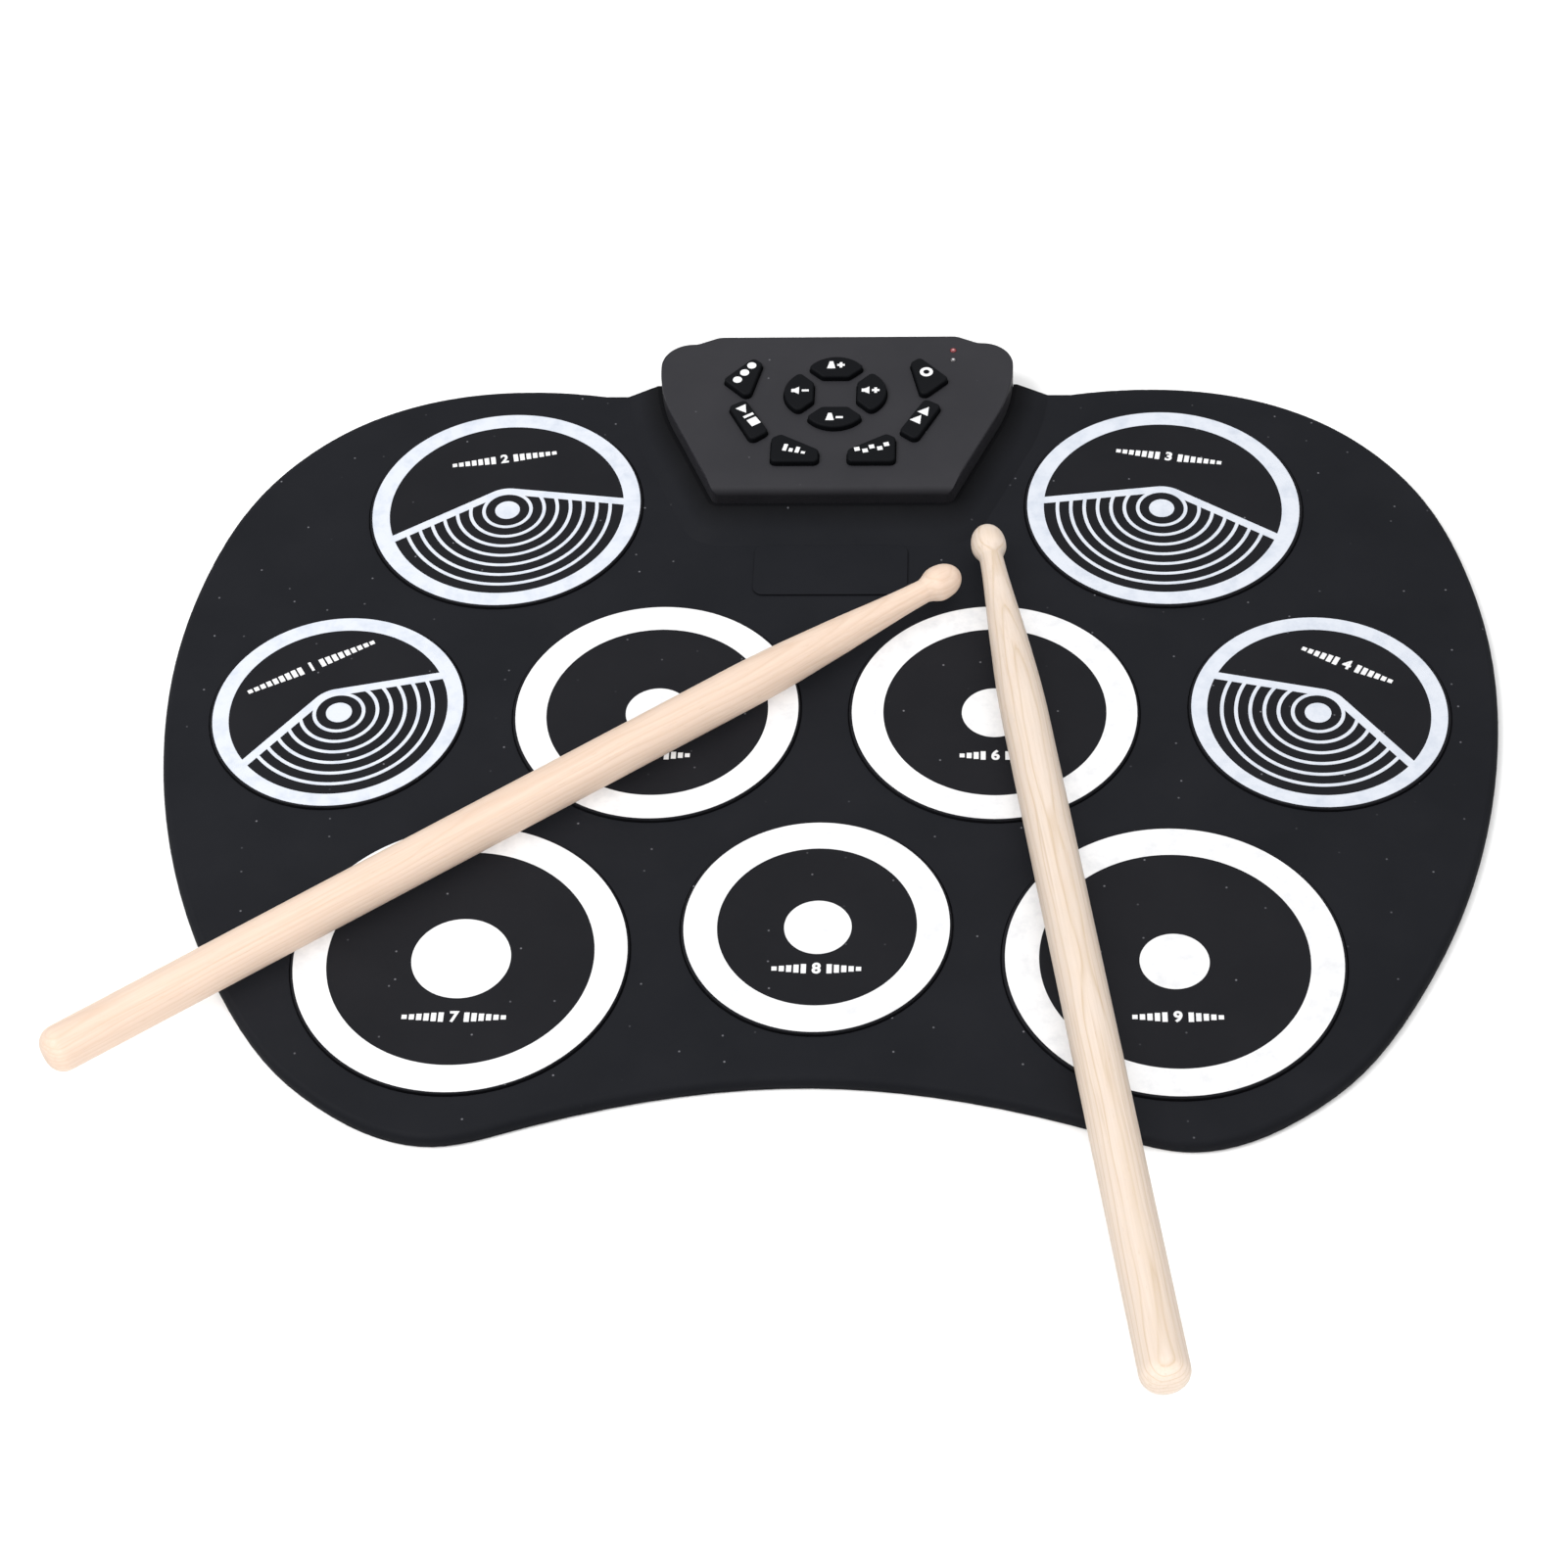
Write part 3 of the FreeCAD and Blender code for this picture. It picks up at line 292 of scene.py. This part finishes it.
def film_finish():
    """Amber film with the dark tracks printed on it."""
    s = Surface("film_finish", Specular_IOR_Level=0.5)
    lines = s.add("ShaderNodeTexWave", {"Vector": s.place, "Scale": 160.0, "Distortion": 0.0},
                  bands_direction="X").outputs["Fac"]
    base = s.ramp(s.noise(50, 3), (0.35, (0.42, 0.2, 0.05)), (0.65, (0.5, 0.26, 0.07)))
    s.feed("Base Color", s.mix(s.math("GREATER_THAN", lines, 0.8), base, (0.05, 0.04, 0.035)))
    s.rough(s.noise(300, 2), 0.25, 0.4)
    return s.material


def foam_finish():
    """Open-cell foam."""
    s = Surface("foam_finish", Specular_IOR_Level=0.1, Sheen_Weight=0.2)
    cells = s.voronoi(1600)
    s.feed("Base Color", s.ramp(cells, (0.0, (0.015, 0.015, 0.017)), (0.5, (0.05, 0.05, 0.055))))
    s.rough(s.noise(300, 2), 0.85, 0.95)
    s.bump((cells, 0.8, 0.0002))
    return s.material


# each drumstick's axis: the tip's place, a place on it towards the butt, and its height
STICKS = {"left": ((47.2, 70.6), (-251.2, -149.3)), "right": ((56.7, 93.2), (111.8, -270.3))}
STICK_HEIGHT = 13.65 * MM
# the height above which the mat's collar is painted darker: painted shade, deepening towards the case
COLLAR_FOOT = 6.0 * MM
FINISH = {
    "mat_silicone": silicone("mat_silicone_finish", (0.0086, 0.0093, 0.0118), (0.0104, 0.0110, 0.0138),
                             0.66, pitch=0.014, painted_shade_climb=(COLLAR_FOOT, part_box("mat_skin")[1].z)),
    "pad_silicone": silicone("pad_silicone_finish", (0.0090, 0.0093, 0.0115), (0.0106, 0.0108, 0.0132),
                             0.60, pitch=0.014),
    "key_rubber": silicone("key_rubber_finish", (0.0047, 0.0052, 0.0065), (0.0062, 0.0066, 0.0079),
                           0.5, grain=0.35, sheen=0.065),
    "foot_rubber": silicone("foot_rubber_finish", (0.008, 0.008, 0.008), (0.012, 0.012, 0.012), 0.7),
    "case_plastic": plastic("case_plastic_finish", (0.0217, 0.0215, 0.0253), (0.0249, 0.0245, 0.0285), 0.5,
                            pitch=0.022, Specular_IOR_Level=0.16),
    "case_black": plastic("case_black_finish", (0.0060, 0.0060, 0.0070), (0.0078, 0.0077, 0.0088), 0.5,
                          Specular_IOR_Level=0.1),
    "socket_plastic": plastic("socket_plastic_finish", (0.006, 0.006, 0.006), (0.01, 0.01, 0.01), 0.45),
    "chip": plastic("chip_finish", (0.008, 0.008, 0.009), (0.013, 0.013, 0.014), 0.55),
    "sensor": plastic("sensor_finish", (0.012, 0.012, 0.012), (0.02, 0.02, 0.02), 0.6),
    "carbon": plastic("carbon_finish", (0.006, 0.006, 0.006), (0.012, 0.012, 0.012), 0.7),
    "socket_metal": metal("socket_metal_finish", (0.55, 0.55, 0.56), (0.68, 0.68, 0.69), 0.28),
    "screw_steel": metal("screw_steel_finish", (0.42, 0.42, 0.43), (0.56, 0.56, 0.57), 0.3),
    "capacitor": metal("capacitor_finish", (0.6, 0.6, 0.62), (0.74, 0.74, 0.76), 0.25),
    # the lenses: a painted highlight at the heart, painted shade at the edge
    "lamp_red": lens("lamp_red_finish", "lamp_red", (0.52, 0.27, 0.27), (0.19, 0.015, 0.022),
                     (0.03, 0.004, 0.006)),
    "lamp_clear": lens("lamp_clear_finish", "lamp_clear", (0.62, 0.62, 0.64), (0.055, 0.05, 0.055),
                       (0.012, 0.012, 0.013)),
    "circuit_board": board_finish(),
    "film": film_finish(),
    "foam": foam_finish(),
    "white_print": ink("white_print_finish", (0.66, 0.665, 0.68), (0.76, 0.76, 0.765)),
}
PALE_PRINT = ink("pale_print_finish", (0.511, 0.55, 0.622), (0.603, 0.632, 0.69))
WOOD = {
    "left": wood("left_stick_finish", *STICKS["left"],
                 ((0.565, 0.448, 0.367), (0.526, 0.405, 0.323), (0.445, 0.325, 0.243)),
                 (0.004, -0.045), 0.0016, ((0.545, 0.427, 0.345), (0.512, 0.388, 0.306)), 0.35),
    "right": wood("right_stick_finish", *STICKS["right"],
                  ((0.543, 0.462, 0.399), (0.504, 0.421, 0.351), (0.419, 0.324, 0.234)),
                  (0.003, 0.020), 0.0019, ((0.529, 0.442, 0.368), (0.451, 0.357, 0.267)), 0.55),
}


def paint(obj, material):
    obj.data.materials.clear()
    obj.data.materials.append(material)


for part in frame["record"]["subparts"]:
    node = part["node"]
    if part["material_slot"] == "stick_wood":
        paint(NODES[node], WOOD[node.split("_")[1]])
    else:
        paint(NODES[node], FINISH[part["material_slot"]])


# ---------------------------------------------------------------- flat prints
# how far a print sinks into its surface, in metres, and how thick it is, in millimetres
SUNK = 0.00003
PRINT = 0.12
# for a numeral one high: the size of the face, and how much its outline is thickened
FACE_SIZE = 1.38
BOLDNESS = 0.05


def loop_of(centre, radius, start=0.0, end=360.0, step=2.0):
    """Points on an arc from one angle to another, in degrees."""
    count = max(2, round(abs(end - start) / step))
    full = abs(end - start) >= 360.0
    angles = [math.radians(start + (end - start) * i / count) for i in range(count + (not full))]
    return [(centre[0] + radius * math.cos(a), centre[1] + radius * math.sin(a)) for a in angles]


def mesh_from_curve(curve, name):
    """A closed mesh from a filled and extruded 2-D curve."""
    holder = bpy.data.objects.new(name + "_curve", curve)
    scene.collection.objects.link(holder)
    bpy.context.view_layer.update()
    shown = holder.evaluated_get(bpy.context.evaluated_depsgraph_get())
    mesh = bpy.data.meshes.new_from_object(shown)
    bpy.data.objects.remove(holder)
    bpy.data.curves.remove(curve)
    work = bmesh.new()
    work.from_mesh(mesh)
    bmesh.ops.remove_doubles(work, verts=work.verts, dist=1e-7)
    bmesh.ops.recalc_face_normals(work, faces=work.faces)
    work.to_mesh(mesh)
    work.free()
    mesh.name = name
    return mesh


def filled(name, loops):
    """A print's solid from loops in millimetres: a loop inside another is a hole, or an island in one."""
    curve = bpy.data.curves.new(name, "CURVE")
    curve.dimensions = "2D"
    curve.fill_mode = "BOTH"
    curve.extrude = PRINT / 2 * MM
    for loop in loops:
        spline = curve.splines.new("POLY")
        spline.points.add(len(loop) - 1)
        for place, (x, y) in zip(spline.points, loop):
            place.co = (x * MM, y * MM, 0, 1)
        spline.use_cyclic_u = True
    return mesh_from_curve(curve, name)


def digit(name, text, height):
    """A numeral in Blender's own plain face, made bold."""
    curve = bpy.data.curves.new(name, "FONT")
    curve.body = text
    curve.align_x = "CENTER"
    curve.align_y = "CENTER"
    curve.size = FACE_SIZE * height * MM
    curve.offset = BOLDNESS * height * MM
    curve.extrude = PRINT / 2 * MM
    curve.resolution_u = 6
    return mesh_from_curve(curve, name)


def lay(name, meshes, place, turn, surface, body, material):
    """Joins meshes into one print that lies on a surface and rides on a body."""
    work = bmesh.new()
    for mesh in meshes:
        work.from_mesh(mesh)
        bpy.data.meshes.remove(mesh)
    settle = Matrix.Translation((place[0] * MM, place[1] * MM, surface + PRINT / 2 * MM - SUNK))
    work.transform(settle @ Matrix.Rotation(math.radians(turn), 4, "Z"))
    mesh = bpy.data.meshes.new(name)
    work.to_mesh(mesh)
    work.free()
    obj = bpy.data.objects.new(name, mesh)
    scene.collection.objects.link(obj)
    paint(obj, material)
    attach(obj, body)


# ---------------------------------------------------------------- prints on the pads
# All in millimetres and degrees. A side is -1 on the left, 0 in the middle and 1 on the right.
# On the real pads a ring's outer circle, inner circle and dot aren't quite concentric.
OUTER_SHIFT = (0.1, -0.1)
INNER_SHIFT = (0.25, -0.45)
DOT_SHIFT = {-1: (0.6, -1.35), 0: (0.6, -1.15), 1: (0.15, -1.35)}
DRUMS = {
    # pad: side, ring's outer and inner radius, dot's radius, label's width and place
    "tom_high": (-1, 50.4, 39.5, 11.5, 26.0, (0.5, -21.5)),
    "tom_low": (1, 50.4, 39.4, 11.5, 24.0, (0.5, -21.5)),
    "snare": (-1, 56.4, 45.2, 16.8, 33.4, (0.5, -26.0)),
    "tom_floor": (1, 56.2, 45.0, 11.6, 30.0, (0.5, -24.5)),
    "bass": (0, 44.9, 33.7, 11.4, 30.4, (0.6, -18.8)),
}
CYMBALS = {
    # pad: side, ring's radii, turn of the fan, number of arcs, label's width, place and tilt
    "crash_left": (-1, 50.4, 44.0, 0.0, 7, 39.0, (-2.9, 26.0), 10.0),
    "crash_right": (1, 50.3, 44.0, 0.0, 7, 39.0, (-2.9, 26.0), 10.0),
    "hihat": (-1, 44.95, 39.2, 19.6, 6, 49.0, (-12.0, 20.7), 30.0),
    "ride": (1, 44.8, 39.1, 19.6, 6, 36.0, (-11.0, 21.5), 28.0),
}
# the fan: how far its band's two arms lean from level, the band's edges from the hub, the hub's
# dot, and the arcs' first radius, pitch and width
FAN_LEFT, FAN_RIGHT = 32.9, -7.2
BAND_OUT, BAND_IN = 11.5, 8.2
FAN_DOT = 4.65
FAN_FIRST, FAN_PITCH, FAN_LINE = 8.85, 4.96, 1.3
NUMBERS = {name: str(i) for i, name in enumerate(
    ("hihat", "crash_left", "crash_right", "ride", "tom_high", "tom_low", "snare", "bass", "tom_floor"),
    start=1)}


def pad_centre(name):
    low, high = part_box(f"pad_{name}")
    return ((low.x + high.x) / 2 / MM, (low.y + high.y) / 2 / MM), high.z


def on_ray(centre, radius, hub, normal, offset, side):
    """Where a line at an offset from a hub, along a normal in degrees, meets a circle."""
    n = (math.cos(math.radians(normal)), math.sin(math.radians(normal)))
    t = (-n[1] * side, n[0] * side)
    foot = (hub[0] + n[0] * offset - centre[0], hub[1] + n[1] * offset - centre[1])
    along = foot[0] * t[0] + foot[1] * t[1]
    run = -along + math.sqrt(along ** 2 - foot[0] ** 2 - foot[1] ** 2 + radius ** 2)
    x, y = foot[0] + t[0] * run, foot[1] + t[1] * run
    return math.degrees(math.atan2(y, x)) % 360.0


def fan(outer, inner, turn, arcs):
    """The cymbal motif: a ring, a dot, and arcs that hang below a bent band."""
    hub = DOT_SHIFT[-1]
    ring = loop_of(OUTER_SHIFT, outer)
    left, right = 90 + FAN_LEFT + turn, 90 + FAN_RIGHT + turn
    # above the band: along the ring's inner circle, then round the hub
    start = on_ray(INNER_SHIFT, inner, hub, right, BAND_OUT, -1)
    end = on_ray(INNER_SHIFT, inner, hub, left, BAND_OUT, 1)
    start -= 360.0 if start > end else 0.0
    above = loop_of(INNER_SHIFT, inner, start, end) + loop_of(hub, BAND_OUT, left, right)
    loops = [ring, above]
    # below it: the gaps between one arc and the next
    half = FAN_LINE / 2
    for i in range(arcs):
        low = FAN_FIRST + i * FAN_PITCH + half
        spans = []
        for centre, radius in ((hub, low), (hub, low + FAN_PITCH - FAN_LINE)):
            if i == arcs - 1 and radius > low:
                centre, radius = INNER_SHIFT, inner
            a = on_ray(centre, radius, hub, left, BAND_IN, 1)
            b = on_ray(centre, radius, hub, right, BAND_IN, -1)
            b += 360.0 if b < a else 0.0
            spans.append(loop_of(centre, radius, a, b))
        loops.append(spans[0] + spans[1][::-1])
    loops.append(loop_of(hub, FAN_FIRST - half))
    loops.append(loop_of(hub, FAN_DOT, step=5.0))
    return loops


def rectangle(x, y, width, height):
    return [(x - width / 2, y - height / 2), (x + width / 2, y - height / 2),
            (x + width / 2, y + height / 2), (x - width / 2, y + height / 2)]


# a label: its height, its bars, the room that its number takes, and where the first bar stands
LABEL_HEIGHT = 4.3
BAR_WIDTH, BAR_PITCH = 1.75, 2.45
NUMBER_ROOM, FIRST_BAR = 3.2, 4.3


def label(name, number, width):
    """A number between two rows of bars that grow shorter outwards."""
    count = max(2, int((width / 2 - NUMBER_ROOM) / BAR_PITCH + 0.5))
    bars = []
    for i in range(count):
        tall = LABEL_HEIGHT * (0.9 - 0.5 * i / (count - 1))
        for side in (-1, 1):
            bars.append(rectangle(side * (FIRST_BAR + i * BAR_PITCH), 0, BAR_WIDTH, tall))
    return [filled(name + "_bars", bars), digit(name, number, LABEL_HEIGHT)]


def flipped(loops):
    return [[(-x, y) for x, y in loop] for loop in loops]


for name, (side, outer, inner, dot, width, place) in DRUMS.items():
    centre, top = pad_centre(name)
    loops = [loop_of(OUTER_SHIFT, outer), loop_of(INNER_SHIFT, inner)]
    loops.append(loop_of(DOT_SHIFT[side], dot, step=3.0))
    lay(f"print_{name}", [filled(name, loops)], centre, 0, top, f"pad_{name}",
        FINISH["white_print"])
    spot = (centre[0] + place[0], centre[1] + place[1])
    lay(f"label_{name}", label(name, NUMBERS[name], width), spot, 0, top, f"pad_{name}",
        FINISH["white_print"])

for name, (side, outer, inner, turn, arcs, width, place, tilt) in CYMBALS.items():
    centre, top = pad_centre(name)
    loops = fan(outer, inner, turn, arcs)
    loops = flipped(loops) if side > 0 else loops
    lay(f"print_{name}", [filled(name, loops)], centre, 0, top, f"pad_{name}",
        PALE_PRINT)
    spot = (centre[0] - side * place[0], centre[1] + place[1])
    lay(f"label_{name}", label(name, NUMBERS[name], width), spot, -side * tilt, top, f"pad_{name}",
        FINISH["white_print"])


# ---------------------------------------------------------------- marks on the keys
# the strokes of the plus and minus signs, and how long they are
LINE = 1.05
PLUS_SIZE, MINUS_SIZE = 2.9, 2.7


def plus(x, y):
    half, arm = LINE / 2, PLUS_SIZE / 2
    quarter = [(half, arm), (half, half), (arm, half)]
    points = []
    for turn in range(4):
        c, s = (1, 0, -1, 0)[turn], (0, 1, 0, -1)[turn]
        points += [(x + px * c + py * s, y - px * s + py * c) for px, py in quarter]
    return points


def minus(x, y):
    return rectangle(x, y, MINUS_SIZE, LINE)


def triangle(x, y, size):
    return [(x - size * 0.45, y - size / 2), (x + size * 0.5, y), (x - size * 0.45, y + size / 2)]


def metronome(x, y):
    return [(x - 1.6, y - 1.95), (x + 1.6, y - 1.95), (x + 0.65, y + 1.95), (x - 0.65, y + 1.95)]


def speaker(x, y):
    return [(x - 1.7, y - 0.85), (x - 0.6, y - 0.85), (x + 1.2, y - 1.95), (x + 1.2, y + 1.95),
            (x - 0.6, y + 0.85), (x - 1.7, y + 0.85)]


def bar_row(pitch, width, heights):
    """Bars of changing height on one base line."""
    middle = (len(heights) - 1) / 2
    return [rectangle((i - middle) * pitch, (tall - max(heights)) / 2, width, tall)
            for i, tall in enumerate(heights)]


KEY_MARKS = {
    # key: the mark's outlines, its place and its turn
    "tempo_up": ([metronome(-1.7, 0), plus(2.0, -0.1)], (-0.2, 175.1), 0),
    "tempo_down": ([metronome(-1.7, 0), minus(1.9, -0.4)], (0.0, 146.5), 0),
    "volume_down": ([speaker(-1.6, 0), minus(2.0, 0)], (-13.4, 160.9), 0),
    "volume_up": ([speaker(-1.6, 0), plus(2.0, 0)], (13.3, 160.9), 0),
    "upper_left": ([loop_of((x, 0), 1.75, step=12) for x in (-4.7, 0, 4.7)], (-34.9, 171.0), 57),
    "upper_right": ([loop_of((0, 0), 2.5, step=8), loop_of((0, 0), 1.2, step=12)], (34.4, 170.9), 0),
    "side_left": ([triangle(-3.9, 0, 4.4), rectangle(0.0, 0, 1.2, 4.2), rectangle(3.9, 0, 3.9, 3.9)],
                  (-32.4, 147.3), -57),
    "side_right": ([triangle(-2.6, 0, 4.6), triangle(2.6, 0, 4.6)], (32.9, 147.3), 57),
    "lower_left": (bar_row(2.4, 1.5, (3.6, 1.845, 3.06, 1.17)), (-14.4, 129.1), -13),
    "lower_right": ([rectangle(-5.6 + 2.8 * i, 0.75 * (-1) ** i, 2.0, 2.0) for i in range(5)],
                    (14.6, 129.4), 13),
}
for key, (loops, place, turn) in KEY_MARKS.items():
    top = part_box(f"key_{key}")[1].z
    lay(f"mark_{key}", [filled(f"mark_{key}", loops)], place, turn, top, f"key_{key}",
        FINISH["white_print"])


# ---------------------------------------------------------------- foam under the pads
def foam_disc(name):
    """A foam disc with soft edges and an uneven top."""
    low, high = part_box(f"cushion_{name}")
    centre = (low + high) / 2
    radius, height = (high.x - low.x) / 2, high.z - low.z
    # fractions of the radius and of the height, from the middle of the base to that of the top
    profile = [(0.0, 0.0), (0.5, 0.0), (0.9, 0.0), (0.97, 0.06), (1.0, 0.3), (1.0, 0.7), (0.97, 0.94),
               (0.9, 1.0), (0.5, 0.985), (0.0, 0.98)]
    work = bmesh.new()
    points = [work.verts.new((centre.x + r * radius, centre.y, low.z + h * height)) for r, h in profile]
    edges = [work.edges.new(pair) for pair in zip(points, points[1:])]
    bmesh.ops.spin(work, geom=points + edges, cent=centre, axis=(0, 0, 1), angle=2 * math.pi,
                   steps=64, use_merge=True)
    bmesh.ops.remove_doubles(work, verts=work.verts, dist=1e-6)
    bmesh.ops.recalc_face_normals(work, faces=work.faces)
    mesh = bpy.data.meshes.new(f"foam_{name}")
    work.to_mesh(mesh)
    work.free()
    for face in mesh.polygons:
        face.use_smooth = True
    obj = bpy.data.objects.new(f"foam_{name}", mesh)
    scene.collection.objects.link(obj)
    paint(obj, FINISH["foam"])
    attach(obj, "base")
    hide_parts(f"cushion_{name}")
    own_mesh(obj)


for name in NUMBERS:
    foam_disc(name)


# ---------------------------------------------------------------- floor, light and camera
FLOOR_HALF = 15.0
FLOOR_DROP = 0.3 * MM
# the white sky's strength at the horizon and overhead
HORIZON, OVERHEAD = 0.3, 1.5
# the camera, solved from the round pads: focal length and film width in mm, place and axes
LENS, FILM = 81.02, 36.0
EYE = (0.0554, -0.8245, 0.9358)
RIGHT, UP, BACK = (0.99844, 0.03744, -0.04135), (-0.00139, 0.75784, 0.65239), (0.05577, -0.65133, 0.75671)


def floor():
    s = Surface("floor_finish", Roughness=1.0, Specular_IOR_Level=0.0)
    s.feed("Base Color", s.ramp(s.noise(3, 2), (0.3, (0.93, 0.93, 0.93)), (0.7, (0.95, 0.95, 0.95))))
    mesh = bpy.data.meshes.new("floor")
    corners = rectangle(0, 0, 2 * FLOOR_HALF, 2 * FLOOR_HALF)
    mesh.from_pydata([(x, y, 0) for x, y in corners], [], [(0, 1, 2, 3)])
    obj = bpy.data.objects.new("floor", mesh)
    obj.location.z = -FLOOR_DROP
    scene.collection.objects.link(obj)
    paint(obj, s.material)


def area_light(name, place, size, power):
    data = bpy.data.lights.new(name, "AREA")
    data.shape = "DISK"
    data.size = size
    data.energy = power
    obj = bpy.data.objects.new(name, data)
    obj.location = place
    obj.rotation_euler = (Vector((0, 0, 0)) - Vector(place)).to_track_quat("-Z", "Y").to_euler()
    scene.collection.objects.link(obj)
    return obj


def stick_group(name, state):
    """The drumsticks as a set that a light falls on, or passes through without a shadow."""
    group = bpy.data.collections.new(name)
    for node in ("drumstick_left", "drumstick_right"):
        group.objects.link(NODES[node])
    for member in group.collection_objects:
        member.light_linking.link_state = state
    return group


def white_sky():
    """A white world that grows brighter overhead."""
    world = bpy.data.worlds.new("studio")
    world.use_nodes = True
    nodes, links = world.node_tree.nodes, world.node_tree.links
    toward = nodes.new("ShaderNodeTexCoord")
    split = nodes.new("ShaderNodeSeparateXYZ")
    square = nodes.new("ShaderNodeMath")
    square.operation = "POWER"
    square.inputs[1].default_value = 2.0
    level = nodes.new("ShaderNodeMapRange")
    level.inputs["To Min"].default_value = HORIZON
    level.inputs["To Max"].default_value = OVERHEAD
    background = nodes["Background"].inputs
    background["Color"].default_value = (1.0, 1.0, 1.0, 1.0)
    links.new(toward.outputs["Generated"], split.inputs["Vector"])
    links.new(split.outputs["Z"], square.inputs[0])
    links.new(square.outputs["Value"], level.inputs["Value"])
    links.new(level.outputs["Result"], background["Strength"])
    return world


floor()
key_light = area_light("key_light", (-0.9, -0.05, 1.3), 0.75, 14.0)
fill_light = area_light("fill_light", (0.7, 0.7, 1.9), 1.6, 6.0)
stick_light = area_light("stick_light", (0.25, -1.65, 0.78), 1.5, 31.0)
shadowless = stick_group("casts_no_shadow", "EXCLUDE")
key_light.light_linking.blocker_collection = shadowless
fill_light.light_linking.blocker_collection = shadowless
stick_light.light_linking.receiver_collection = stick_group("lit_from_the_front", "INCLUDE")
scene.world = white_sky()
scene.view_settings.view_transform = "Standard"

camera = bpy.data.objects.new("camera", bpy.data.cameras.new("camera"))
scene.collection.objects.link(camera)
camera.data.lens = LENS
camera.data.sensor_width = FILM
camera.matrix_world = Matrix.Translation(EYE) @ Matrix((RIGHT, UP, BACK)).transposed().to_4x4()
scene.camera = camera
